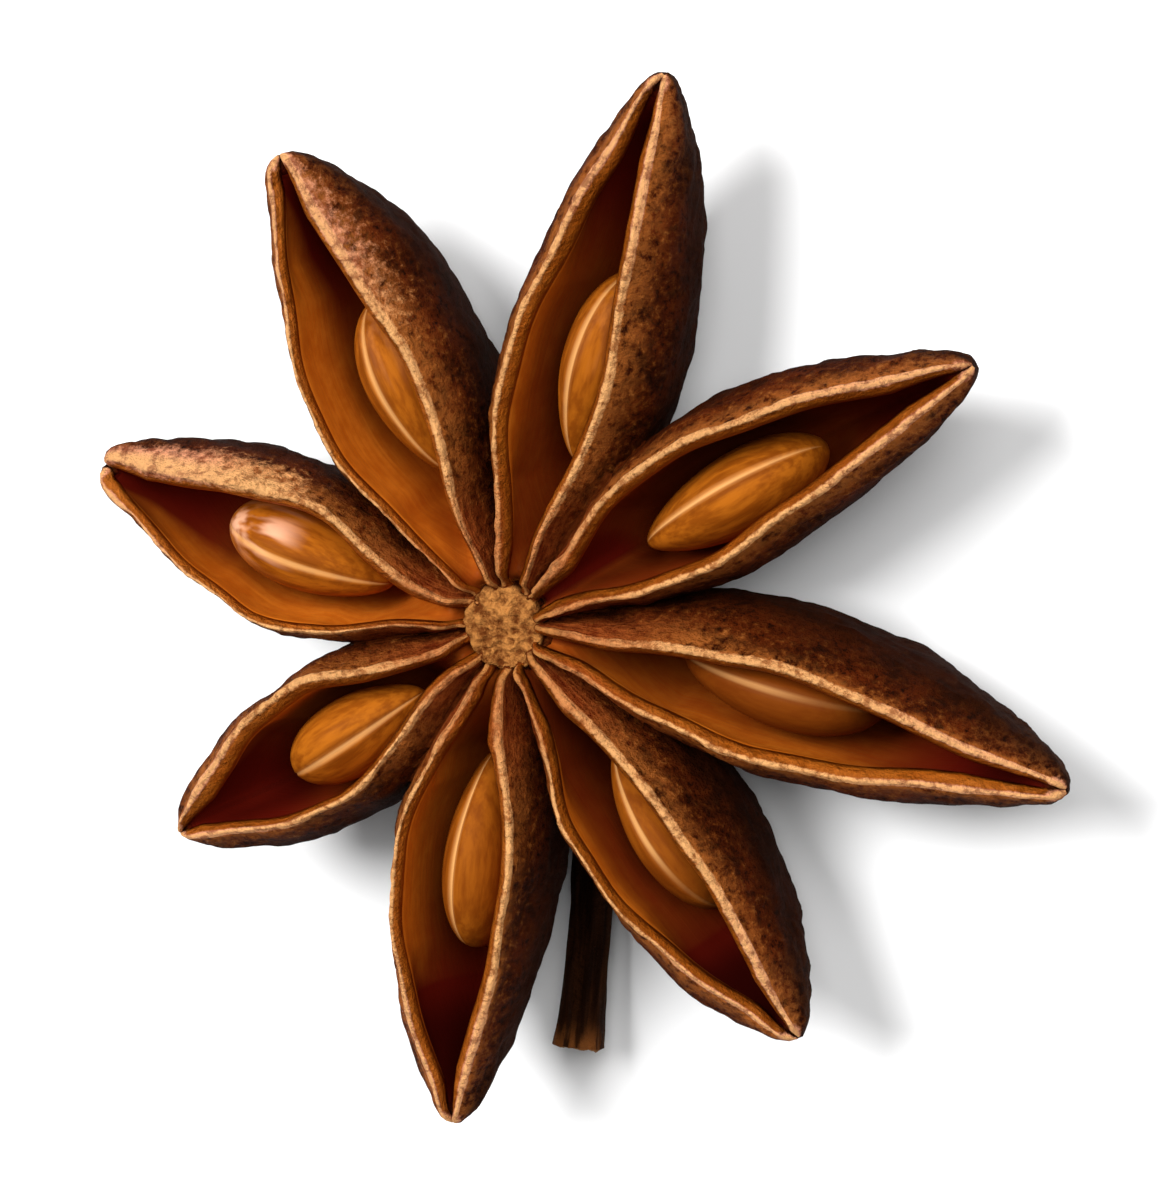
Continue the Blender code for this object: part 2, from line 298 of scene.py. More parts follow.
# The wood's colours, in linear light: the outer wall, its fibrous root, the hollow and the lip's crest
WALL_DARK, WALL_RED = (0.058, 0.0080, 0.0012), (0.139, 0.0200, 0.0027)
# Pale grain that is partly painted highlight, then painted shade for the pits and dents of the wall's relief
GRAIN_AND_HIGHLIGHT, GRAIN_AND_BRIGHT_HIGHLIGHT = (0.258, 0.0641, 0.0099), (0.536, 0.1780, 0.0380)
PIT_SHADE, DENT_SHADE = (0.010, 0.0020, 0.0006), (0.021, 0.0040, 0.0012)
RUBBED, TIP_TAN = (0.474, 0.1379, 0.0258), (0.433, 0.1335, 0.0304)
FIBRE_DARK, FIBRE_PALE = (0.155, 0.0165, 0.0030), (0.43, 0.092, 0.018)
WALL_SHADOW = (0.014, 0.0030, 0.0008)
AMBER_DARK, AMBER_PALE, AMBER_CLOUD = (0.60, 0.138, 0.0070), (0.74, 0.205, 0.0150), (0.46, 0.088, 0.0055)
# The hollow's painted shade, and a darker painted shade still at the tips of some hollows
AMBER_SHADE, AMBER_DEEPEST_SHADE = (0.105, 0.0060, 0.0024), (0.028, 0.0018, 0.0012)
CREST_DARK, CREST_PALE = (0.309, 0.0712, 0.0114), (0.93, 0.42, 0.15)
ROSY_DARK, ROSY_PALE = (0.185, 0.0338, 0.0068), (0.742, 0.2403, 0.0699)
PINK_DARK, PINK_PALE = (0.30, 0.080, 0.042), (0.90, 0.37, 0.21)
CREST_EDGE = (0.950, 0.4851, 0.1824)

# The colours of the column's top, the stalk and the seeds
TOP_DARK, TOP_PALE = (0.160, 0.040, 0.0080), (0.68, 0.275, 0.0680)
# The bark's own dark colours, darkened further with painted shade
BARK_SHADED_DARK, BARK_SHADED_PALE = (0.010, 0.0030, 0.0012), (0.038, 0.012, 0.0042)
BARK_FRAYED, BARK_CUT = (0.22, 0.070, 0.017), (0.30, 0.135, 0.045)
COAT_DARK, COAT_PALE = (0.22, 0.052, 0.0028), (0.37, 0.103, 0.0060)
# The coat's painted shade, and its painted highlight streaks
COAT_SHADED, COAT_SHEEN = (0.11, 0.021, 0.0018), (0.76, 0.40, 0.24)
RIDGE_PALE = (0.76, 0.40, 0.140)

# How the grain is stretched: millimetres along, round and by number, each times this
FIBRE_GRAIN = (0.6, 4.6, 1.0)
STREAK_GRAIN = (0.35, 5.0, 1.0)
BARK_GRAIN = (0.5, 4.0, 1.0)
FINE_GRAIN = (0.3, 9.0, 1.0)
COAT_GRAIN = (0.5, 3.0, 3.0)
SHEEN_GRAIN = (0.25, 2.6, 2.6)

# The camera: its tilt from straight down, the side it leans to, the height of its view, and how far its aim
# is to the right of the column's top and above it
CAMERA_TILT = math.radians(22)
CAMERA_TURN = math.radians(28)
LENS = 300.0
SENSOR = 36.0
VIEW_HEIGHT = 38.4
AIM = (2.75, 0.9)
CLIP_METRES = (0.01, 20.0)

# The table, and the sky: the heights on a unit sphere between which it changes, and how bright it is by the
# horizon and overhead
TABLE_HALF_METRES = 3.0
TABLE_WHITE = (0.93, 0.93, 0.93, 1.0)
GLOW_HEIGHTS = (0.02, 0.12)
GLOW, SKY = 0.95, 0.18


def own(values, number, hand=None):
    """A follicle's own value in a table, or the one for its left (1) or right (-1) hand."""
    value = values[number - 1]
    return value if hand is None else value[0 if hand > 0 else 1]


def ease(x):
    """A smooth step from 0 to 1."""
    x = np.clip(x, 0.0, 1.0)
    return x * x * (3.0 - 2.0 * x)


def ramp(x, start, over):
    """A smooth step from 0 at start to 1 at start + over."""
    return ease((x - start) / over)


def bump(x, half_width):
    """A rounded bump of height 1 at 0."""
    return np.exp(-((x / half_width) ** 2))


def soft_min(a, b, blend):
    """The smaller of two lengths, with the corner between them rounded off over blend."""
    share = np.clip(0.5 + 0.5 * (b - a) / blend, 0.0, 1.0)
    return b * (1.0 - share) + a * share - blend * share * (1.0 - share)


def room_beside(follicle, hand, radius):
    """How far a follicle can widen on one hand, 1 or -1, before it is halfway to its neighbour there."""
    others = [other.azimuth for other in FOLLICLES if other is not follicle]
    turn = min(hand * (azimuth - follicle.azimuth) % 360.0 for azimuth in others)
    return OVERLAP + radius * math.tan(0.5 * math.radians(turn)) * OVERLAP_SHARE


def follicle_form(follicle, q):
    """The sizes of a follicle at the share q of its length, from its root (0) to its tip (1)."""
    radius = ROOT_RADIUS + (follicle.reach - ROOT_RADIUS) * q
    before = np.clip((q - 0.05) / (follicle.gape_at - 0.05), 0.0, 1.0)
    after = np.clip((q - follicle.gape_at) / (1.0 - follicle.gape_at), 0.0, 1.0)
    opening = np.sin(0.5 * math.pi * before) * (1.0 - after**1.5)
    root_gape = 0.5 * ROOT_GAPE * (1.0 - 0.7 * q)
    gape = root_gape + (0.5 * follicle.gape - root_gape) * opening

    taper = np.clip((q - KEEL_AT) / (1.0 - KEEL_AT), 0.0, 1.0)
    width = 0.5 * follicle.width * (1.0 - taper**1.9) ** 0.85 + 0.2 * taper

    lip = COLUMN_TOP + LIP_RISE * np.sin(math.pi * q**0.9) ** 0.9 + follicle.tip_lift * q * q
    tip = COLUMN_TOP + follicle.tip_lift - TIP_DEPTH
    toe = np.clip(1.0 - q / KEEL_AT, 0.0, 1.0)
    keel = follicle.keel + (COLUMN_FOOT - follicle.keel) * toe**2 + (tip - follicle.keel) * taper**2.3
    side = follicle.bow * np.sin(math.pi * q)
    return radius, side, gape, width, lip, keel


def ripple(follicle, q, row):
    """An unevenness from -1 to 1 along a follicle, other on each row of its wall and gone at its ends."""
    phase = follicle.azimuth + 1.3 * row
    wave = 0.6 * np.sin(13.0 * q + phase) + 0.4 * np.sin(29.0 * q + 2.3 * phase)
    return wave * np.clip(np.sin(math.pi * q), 0.0, 1.0) ** 0.5


def half_width(depth, edge, widest, foot):
    """Half the width of a follicle at a share of its depth: edge at the top, then widest, then foot."""
    above = edge + (widest - edge) * np.sin(0.5 * math.pi * np.minimum(depth / WIDEST_DEPTH, 1.0))
    below = np.clip((depth - WIDEST_DEPTH) / (1.0 - WIDEST_DEPTH), 0.0, 1.0)
    return np.where(below <= 0.0, above, foot + (widest - foot) * (1.0 - below**1.8) ** 0.75)


def hollow_width(depth, edge, widest, foot):
    """Half the width of a follicle's hollow at a share of its depth, narrowing steadily below the lips."""
    above = edge + (widest - edge) * ease(depth / HOLLOW_WIDEST_DEPTH)
    below = np.clip((depth - HOLLOW_WIDEST_DEPTH) / (1.0 - HOLLOW_WIDEST_DEPTH), 0.0, 1.0)
    return np.where(below <= 0.0, above, foot + (widest - foot) * (1.0 - below**1.9) ** 0.8)


def hollow_shade(number, hand, q, depth):
    """A hollow's painted shade on one hand at shares of its length and depth: 1 is the full shaded amber."""
    shade = own(HOLLOW_SHADE, number)
    by_depth = ramp(depth ** (1.0 - 0.75 * shade), *DEPTH_SHADE)
    further = np.maximum(ramp(q, *DEEP_SHADE_STARTS), shade)
    by_depth = by_depth * (PALE_DEPTH_SHADE + (1.0 - PALE_DEPTH_SHADE) * further)
    tip_shade = own(TIP_SHADE, number)
    darker = tip_shade - PALEST_TIP
    tip_over = TIP_SHADE_OVER + TIP_SHADE_LONGER * darker
    by_tip = tip_shade * ease((q - TIP_SHADE_FROM + TIP_SHADE_SOONER * darker) / tip_over)
    by_column = 0.75 * (1.0 - ramp(q, *COLUMN_SHADE_ENDS))
    by_root = own(ROOT_SHADE, number, hand) * (1.0 - ramp(q, *ROOT_SHADE_ENDS)) * ease(depth / 0.3)
    everywhere = 0.25 * shade + 0.0 * q
    return np.maximum.reduce([by_depth, by_tip, by_column, by_root, everywhere])


def field(points, octaves=1):
    """Smooth noise about -1 to 1 at each point."""
    flat = points.reshape(-1, 3)
    values = [noise.fractal(Vector(point), 1.0, 2.0, octaves) for point in flat]
    return np.array(values).reshape(points.shape[:-1])


def grain_points(along, around, apart, steps):
    """Places for a noise stretched by two steps, along a follicle and round it, apart from other noises."""
    around = np.broadcast_to(around, np.broadcast(along, around).shape)
    along = np.broadcast_to(along, around.shape)
    return np.stack([along / steps[0], around / steps[1], np.full(around.shape, float(apart))], axis=-1)


Stations = namedtuple(
    "Stations", "radius q side width lip keel depth floor wall band seam_gape blunt pinched by_root"
)


def stations_of(number, follicle):
    """A follicle's sizes at each station along it: its form and what its lips, walls and hollow need."""
    radius = np.concatenate((
        np.linspace(FIRST_STATION, CLOSE_STATIONS_END, ROOT_STATIONS, endpoint=False),
        np.linspace(CLOSE_STATIONS_END, follicle.reach, STATIONS),
    ))[:, None]
    q = (radius - ROOT_RADIUS) / (follicle.reach - ROOT_RADIUS)
    radius, side, gape, width, lip, keel = follicle_form(follicle, q)
    depth = lip - keel
    wall = ROOT_WALL + (WALL - ROOT_WALL) * ramp(radius, *THICK_WALL_ENDS)

    by_root = 1.0 - ramp(radius, *ROOT_LOOK_ENDS)
    root_band = ROOT_BAND + SHADED_ROOT_BAND * own(HOLLOW_SHADE, number)
    band = LIP_BAND + (root_band - LIP_BAND) * by_root + (TIP_BAND - LIP_BAND) * ramp(q, *TIP_LOOK)
    blunt = own(BLUNT_TIPS, number) * ramp(q, *BLUNT_STARTS)
    pinched = ramp(radius, *PINCH_STARTS) * (1.0 - ramp(radius, *PINCH_ENDS))
    room = np.minimum(*(room_beside(follicle, hand, radius) for hand in (1, -1)))
    spread = ROOT_SPREAD * (1.0 - ramp(radius, *SPREAD_ENDS))
    seam_gape = soft_min(room - SEAM_ROOM, gape + spread, SEAM_BLEND * radius)

    opened = ramp(radius, *HOLLOW_OPENS) * (1.0 - ramp(q, *HOLLOW_CLOSES))
    opened = SHALLOW_FLOOR + (1.0 - SHALLOW_FLOOR) * opened
    floor = lip - LIP_SLOPE - np.maximum((depth - KEEL_WALL - LIP_SLOPE) * opened, LEAST_FLOOR)
    return Stations(
        radius, q, side, width, lip, keel, depth, floor, wall, band, seam_gape, blunt, pinched, by_root
    )


def valve(number, follicle, at, hand):
    """One hand of a follicle, up its wall, over its lip and down its hollow, as places and marks."""
    q, lip = at.q, at.lip
    flat = np.zeros_like(q)
    breadth = own(LIP_BREADTH, number, hand)
    breadth = breadth + (own(ROOT_BREADTH, number, hand) - breadth) * at.by_root
    open_gape = at.seam_gape * (1.0 - own(ROOT_PINCH, number, hand) * at.pinched)
    gape = open_gape + at.blunt
    inner_gape = np.maximum(open_gape - at.band * breadth, LEAST_INNER_GAPE * open_gape)
    band = gape - inner_gape
    relief = np.minimum(band / LIP_BAND, 1.0) ** 0.6
    bevel_drop = -LIP_PROFILE[-1][1] * relief
    cavity_depth = np.maximum(lip - bevel_drop - at.floor, LEAST_CAVITY)
    crest_over = CREST_OVER * (1.0 + NARROW_CREST_OVER * np.maximum(1.0 - breadth, 0.0))

    room = room_beside(follicle, hand, at.radius)
    wide = np.maximum(soft_min(room, at.width + at.blunt, ROOM_BLEND), gape + LEAST_WALL)
    inner_width = np.maximum(np.maximum(wide - at.wall, LEAST_HOLLOW * wide), inner_gape + SLIVER)
    foot = np.minimum(KEEL_HALF_WIDTH, KEEL_SHARE * wide)
    fuller = follicle.fuller_left if hand > 0 else follicle.fuller_right
    widest = wide + fuller * np.sin(math.pi * np.clip((q - FULLER_FROM) / (1.0 - FULLER_FROM), 0.0, 1.0))
    beside_seed = 0.5 * SEED_THICKNESS * follicle.width + hand * follicle.seed_side + SEED_SPACE
    hollow = np.clip(np.maximum(inner_gape + 0.1, beside_seed), 0.0, inner_width)

    lift = LIP_RIPPLE * ripple(follicle, q, 3 * hand)
    shift = LIP_RIPPLE * ripple(follicle, q, 5 * hand)
    rows = []
    for v in WALL_ROWS[::-1]:
        row = hand * np.interp(v, RIPPLE_ROWS, range(len(RIPPLE_ROWS)))
        swell = WALL_RIPPLE * ripple(follicle, q, row) * math.sin(math.pi * v)
        y = half_width(v, gape, widest, foot) + swell + shift * (1.0 - v)
        z = lip + lift * (1.0 - v) - at.depth * v
        on_crest = 0.9 * np.clip(1.5 * (1.0 - v / crest_over), 0.0, 1.0)
        darker = own(WALL_SHADE, number, hand) * ease(v / 0.06) * ramp(q, *WALL_SHADE_STARTS)
        rows.append((y, z, on_crest, flat, v + darker))
    for (share, up), on_crest, within in zip(LIP_PROFILE, CREST_SHARE, INSIDE_SHARE):
        rim_shade = RIM_SHADE * within * own(HOLLOW_SHADE, number)
        y = gape - band * share + shift
        z = lip + lift + up * relief
        rows.append((y, z, on_crest + flat, within + flat, rim_shade + flat))
    for v in CAVITY_ROWS:
        y = hollow_width(v, inner_gape, hollow, HOLLOW_FOOT * foot) + shift * (1.0 - v)
        z = lip + lift * (1.0 - v) - bevel_drop - cavity_depth * v
        rows.append((y, z, flat, 1.0 + flat, hollow_shade(number, hand, q, v)))
    y, z, crest, inside, deep = (np.concatenate(column, axis=1) for column in zip(*rows))
    return hand * y, z, np.array([crest, inside, deep])


def end_marks(number, at, z, crest, inside, deep):
    """The crest and inside marks, with broad lips by the column and crumbled, closed ones by the tip."""
    broad = np.concatenate((np.zeros(len(WALL_ROWS)), ROOT_CREST, np.zeros(len(CAVITY_ROWS))))
    left, right = own(ROOT_BREADTH, number)
    broad = np.concatenate(([0.0], broad ** (1.0 / left), [0.0], broad[::-1] ** (1.0 / right)))
    crest = np.maximum(crest, broad * at.by_root)
    inside = inside * (1.0 - np.minimum(broad * at.by_root, 1.0))

    columns = z.shape[1]
    share = np.where(np.arange(columns) <= columns // 2, *own(CRUMBLED, number))
    crumbled = ease((at.q - CRUMBLED_FROM + CRUMBLED_SOONER * share) / CRUMBLED_OVER)
    crumbled = crumbled * np.clip(1.0 - deep / CRUMBLED_DOWN, 0.0, 1.0)
    crest = np.maximum(crest, np.minimum(crumbled * share, 1.0) * (1.0 - inside))

    closed = ramp(at.q, *SEAM_CLOSES)
    near_lip = np.clip(1.0 - (at.lip - z) / 0.45, 0.0, 1.0)
    return np.maximum(crest, closed * near_lip), inside * (1.0 - closed)


def finished_ends(number, follicle, at, y, z):
    """A follicle's radii and places, with its beak rounded and notched and its lips' ends dipped."""
    nose = np.clip((at.radius - (follicle.reach - BEAK)) / BEAK, 0.0, 1.0)
    close = np.sqrt(np.clip(1.0 - 0.9 * nose**2, 0.0, 1.0))
    centre = 0.5 * (at.lip + np.maximum(at.keel, 0.0))
    y = y * close
    z = centre + (z - centre) * close

    notch = own(NOTCHES, number) * ramp(at.q, *NOTCH_STARTS) * bump(y, NOTCH_HALF_WIDTH)
    radius = at.radius - notch * ramp(z - at.lip, -NOTCH_DEPTH, NOTCH_FADE)

    beyond = radius - np.where(y >= 0.0, *own(LIP_ENDS, number))
    swelling = END_SWELLING * bump(beyond - SWELLING_AT, SWELLING_LENGTH)
    dip = END_DIP * (1.0 - ramp(beyond, -0.1, 0.4)) - swelling
    z = z - dip * np.clip(1.0 - (at.lip - z) / END_DEPTH, 0.0, 1.0)
    return radius, y, z


def placed(follicle, at, radius, y, z):
    """A follicle's points round the column's axis, with its bow and its lean."""
    angle = math.radians(follicle.azimuth)
    along = np.array((math.cos(angle), math.sin(angle), 0.0))
    across = np.array((-math.sin(angle), math.cos(angle), 0.0))
    lean = follicle.lean * np.sin(math.pi * at.q) * (at.lip - z) / at.depth
    points = along * radius[..., None] + across * (at.side + y + lean)[..., None]
    points[..., 2] = z
    return points


def way_round(points):
    """How far each point lies round its ring from the lip on its own hand."""
    steps = np.linalg.norm(np.diff(points, axis=1, prepend=points[:, :1]), axis=2)
    around = np.cumsum(steps, axis=1)
    lip_column, half = len(WALL_ROWS), points.shape[1] // 2
    around[:, :half + 1] -= around[:, [lip_column]]
    around[:, half + 1:] = OTHER_HAND + around[:, [-lip_column]] - around[:, half + 1:]
    return around


def outward(points):
    """The surface's direction at each point of a grid of closed rings."""
    along = np.gradient(points, axis=0)
    around = np.roll(points, -1, axis=1) - np.roll(points, 1, axis=1)
    normal = np.cross(around, along)
    return normal / np.maximum(np.linalg.norm(normal, axis=2, keepdims=True), 1e-9)


def roughened(number, points, radius, around, crest, inside, deep):
    """A follicle's points with its wrinkled wall, its crumbled lips and its frilled keel."""
    normal = outward(points)
    wall = (1.0 - inside) * (1.0 - crest)
    wander = 0.5 * field(grain_points(radius, around, 3.1 * number, (3.0, 3.0)))
    aslant, wavy = radius + 1.2 * around, around + 2.0 * wander
    wrinkles = field(grain_points(aslant, wavy, 7.7 * number, (2.6, 0.75)), 2)
    lumps = field(points / 0.9 + number * 5.3, 2)
    fine = field(points / 0.38 + number * 2.9)
    beads = field(grain_points(radius, around, 4.3 * number, (0.62, 0.9)), 3)
    chips = field(grain_points(radius, around, 6.1 * number, (1.1, 2.0)))
    frill = field(grain_points(radius, around, 8.9 * number, (0.55, 1.1)))
    swell = field(points / 2.4 + number * 1.7)

    by_keel = ramp(deep, 0.72, 0.2) * wall
    from_lip = ease(deep / 0.1)
    move = wall * from_lip * (WRINKLES * wrinkles + LUMPS * lumps + FINE * fine)
    move += by_keel * KEEL_FRILL * frill
    move += crest * (BEADS * beads + CHIPS * chips + FINE * fine)
    move += inside * (HOLLOW_SWELL * swell + HOLLOW_FINE * fine)
    return points + normal * move[..., None]


Grid = namedtuple("Grid", "points crest inside deep along grain")


def follicle_grid(number, follicle):
    """A follicle as rings of points, with marks for its crest, its hollow, and its depth and painted shade.
    """
    at = stations_of(number, follicle)
    left_y, left_z, left_marks = valve(number, follicle, at, 1)
    right_y, right_z, right_marks = valve(number, follicle, at, -1)
    middle = np.zeros_like(at.q)
    y = np.concatenate((middle, left_y, middle, right_y[:, ::-1]), axis=1)
    z = np.concatenate((at.keel - SLIVER, left_z, at.floor - SLIVER, right_z[:, ::-1]), axis=1)
    keel_marks = np.array([middle, middle, middle + 1.0])
    floor_marks = np.array([middle, middle + 1.0, hollow_shade(number, 1, at.q, 1.0)])
    marks = (keel_marks, left_marks, floor_marks, right_marks[..., ::-1])
    crest, inside, deep = np.concatenate(marks, axis=2)

    crest, inside = end_marks(number, at, z, crest, inside, deep)
    radius, y, z = finished_ends(number, follicle, at, y, z)
    points = placed(follicle, at, radius, y, z)
    around = way_round(points)
    points = roughened(number, points, radius, around, crest, inside, deep)
    points[..., 2] = np.maximum(points[..., 2], 0.0)
    grain = np.stack([radius, around, np.full(y.shape, 9.0 * number)], axis=-1)
    return Grid(points, crest, inside, deep, np.broadcast_to(at.q, y.shape), grain)


def mesh_object(name, points, faces, marks, grain):
    """A mesh object from millimetre points round the column's axis, with its marks and grain at each."""
    mesh = bpy.data.meshes.new(name)
    offset = np.array((*COLUMN_AT, 0.0))
    mesh.from_pydata(((points + offset) * MM).tolist(), [], faces)
    for key, values in marks.items():
        mesh.attributes.new(key, "FLOAT", "POINT").data.foreach_set("value", values.astype(np.float32))
    layer = mesh.attributes.new("grain", "FLOAT_VECTOR", "POINT")
    layer.data.foreach_set("vector", grain.astype(np.float32).ravel())
    piece = bpy.data.objects.new(name, mesh)
    bpy.context.scene.collection.objects.link(piece)
    return piece


def ring_faces(rings, count):
    """The faces of a tube of closed rings, with its two ends closed."""
    faces = []
    for s in range(rings - 1):
        for i in range(count):
            j = (i + 1) % count
            faces.append((s * count + i, s * count + j, (s + 1) * count + j, (s + 1) * count + i))
    faces.append(tuple(reversed(range(count))))
    faces.append(tuple(range((rings - 1) * count, rings * count)))
    return faces


def wood_piece(name, points, grain, crest=0.0, inside=0.0, deep=0.0, along=0.0, column=0.0, stalk=0.0):
    """One of the forms that make up the fruit, from its rings of points and its marks for the material."""
    rings, count = points.shape[:2]
    marks = {
        "crest": crest, "inside": inside, "deep": deep, "along": along, "column": column, "stalk": stalk,
    }
    marks = {key: np.broadcast_to(values, (rings, count)).ravel() for key, values in marks.items()}
    faces = ring_faces(rings, count)
    return mesh_object(name, points.reshape(-1, 3), faces, marks, grain.reshape(-1, 3))


def follicle_piece(number, follicle):
    """A follicle with its walls, lips and hollow."""
    grid = follicle_grid(number, follicle)
    return wood_piece(
        f"follicle_{number}", grid.points, grid.grain,
        crest=grid.crest, inside=grid.inside, deep=grid.deep, along=grid.along,
    )


def column_piece():
    """The column, with its rough, sunken top and a flare that fills the valleys between the follicles."""
    outline = [*COLUMN_OUTLINE, *((r, COLUMN_TOP - TOP_SUNK + 0.04 * math.cos(2.2 * r)) for r in TOP_RADII)]
    turns = 2.0 * math.pi * np.arange(COLUMN_SIDES) / COLUMN_SIDES
    points = np.array([[(r * math.cos(t), r * math.sin(t), z) for t in turns] for r, z in outline])
    radius = np.array([r for r, _ in outline])[:, None] * np.ones(COLUMN_SIDES)
    height = points[..., 2].copy()
    disc = (1.0 - ramp(radius, *DISC_EDGE)) * (height > DISC_FROM_HEIGHT)

    rim = np.stack([3.2 * np.cos(turns), 3.2 * np.sin(turns)], axis=-1)
    rim = np.broadcast_to(rim, (*radius.shape, 2))
    ridges = field(np.concatenate((0.5 * radius[..., None], rim), axis=-1), 2)
    knobs = field(points / 0.34, 2) + 0.4 * field(points / 0.17 + 4.0, 2)
    from_filled = (turns - math.radians(FILLED_AT) + math.pi) % (2.0 * math.pi) - math.pi
    filled = FILLED * bump(from_filled, FILLED_ANGLE) * ramp(height, 4.6, 0.6) * ramp(radius, 1.2, 0.25)

    lobes = ridges * ramp(height, 5.5, 0.8) * ease(radius - 0.2)
    points[..., :2] *= 1.0 + DISC_LOBES * lobes[..., None]
    points[..., 2] += disc * DISC_KNOBS * knobs + filled
    points[..., 2] += (1.0 - disc) * ramp(points[..., 2], 4.0, 1.5) * ROOT_RIDGES * ridges

    # Painted shade between the top's knobs, and on the flare, less where it fills the valleys
    knob_shade = np.clip(0.5 - 0.9 * knobs, 0.0, 1.0)
    deep = disc * knob_shade + (1.0 - disc) * (0.3 - 0.5 * filled)
    grain = np.stack([radius, 2.0 * turns * np.ones_like(radius), np.full(radius.shape, 77.0)], axis=-1)
    return wood_piece("column", points, grain, deep=deep, along=0.1 + 0.9 * disc, column=disc)


def curve_point(points, share):
    """A point on a smooth curve through the given points."""
    spans = len(points) - 1
    at = min(int(share * spans), spans - 1)
    t = share * spans - at
    a, b, c, d = (Vector(points[min(max(at + k, 0), spans)]) for k in (-1, 0, 1, 2))
    return 0.5 * (2 * b + (c - a) * t + (2 * a - 5 * b + 4 * c - d) * t**2 + (3 * b - a - 3 * c + d) * t**3)


def stalk_ring(share, turns):
    """One ring of the stalk at a share of its length."""
    centre = np.array(curve_point(STALK_PATH, share))
    after, before = min(share + 0.01, 1.0), max(share - 0.01, 0.0)
    ahead = curve_point(STALK_PATH, after) - curve_point(STALK_PATH, before)
    side = ahead.cross(Vector((0.0, 0.0, 1.0))).normalized()
    up = np.array(side.cross(ahead).normalized())
    side = np.array(side)
    radius = STALK_RADIUS * (0.94 + STALK_FLARE * (1.0 - share) ** 4 + STALK_SWOLLEN * share**8)
    twist = STALK_TWIST * share
    (count_a, height_a), (count_b, height_b) = STALK_RIDGES
    ridges = height_a * np.cos(count_a * (turns + twist))
    ridges = ridges + height_b * np.cos(count_b * turns - 2.0 * twist)
    round_bark = [Vector((math.cos(t) * 2.0, math.sin(t) * 2.0, share * 22.0)) for t in turns]
    uneven = np.array([noise.noise(point) for point in round_bark])
    radii = radius * (1.0 + ridges + STALK_UNEVEN * uneven)
    return [tuple(centre + r * (math.cos(t) * side + math.sin(t) * up)) for t, r in zip(turns, radii)]


def stalk_piece():
    """The stalk, shrunk into lengthwise ridges, with its frayed end."""
    turns = 2.0 * math.pi * np.arange(STALK_SIDES) / STALK_SIDES
    points = np.array([stalk_ring(i / STALK_RINGS, turns) for i in range(STALK_RINGS + 1)])
    middle = points[-1].mean(axis=0)
    outward_end = middle - points[-3].mean(axis=0)
    outward_end /= np.linalg.norm(outward_end)
    caps = []
    for share in STALK_CAP_RINGS:
        ring = middle + (points[-1] - middle) * share
        bumps = field(ring / 0.35 + 3.0, 2)
        caps.append(ring + outward_end * (0.04 + 0.10 * bumps)[:, None])
    points = np.concatenate((points, np.array(caps)))
    points[..., 2] = np.maximum(points[..., 2], STALK_ABOVE_TABLE)

    rings, count = points.shape[:2]
    shares = np.minimum(np.arange(rings) / STALK_RINGS, 1.0)[:, None]
    cut = np.concatenate((np.zeros(STALK_RINGS + 1), np.ones(len(caps))))[:, None]
    grain = np.stack([
        np.broadcast_to(15.0 * shares, (rings, count)),
        np.broadcast_to(STALK_RADIUS * turns, (rings, count)),
        np.full((rings, count), 99.0),
    ], axis=-1)
    return wood_piece("stalk", points, grain, crest=cut, along=shares, stalk=1.0)


def joined(name, pieces, material):
    """The pieces as one closed surface, by one union."""
    body, others = pieces[0], pieces[1:]
    group = bpy.data.collections.new(f"{name}_parts")
    bpy.context.scene.collection.children.link(group)
    for piece in others:
        bpy.context.scene.collection.objects.unlink(piece)
        group.objects.link(piece)
    union = body.modifiers.new("union", "BOOLEAN")
    union.operation = "UNION"
    union.operand_type = "COLLECTION"
    union.collection = group
    union.solver = "MANIFOLD"
    graph = bpy.context.evaluated_depsgraph_get()
    mesh = bpy.data.meshes.new_from_object(body.evaluated_get(graph))
    body.modifiers.clear()
    body.data = mesh
    body.name = name
    for piece in others:
        bpy.data.objects.remove(piece, do_unlink=True)
    bpy.data.collections.remove(group)
    mesh.materials.clear()
    mesh.materials.append(material)
    mesh.shade_smooth()
    return body


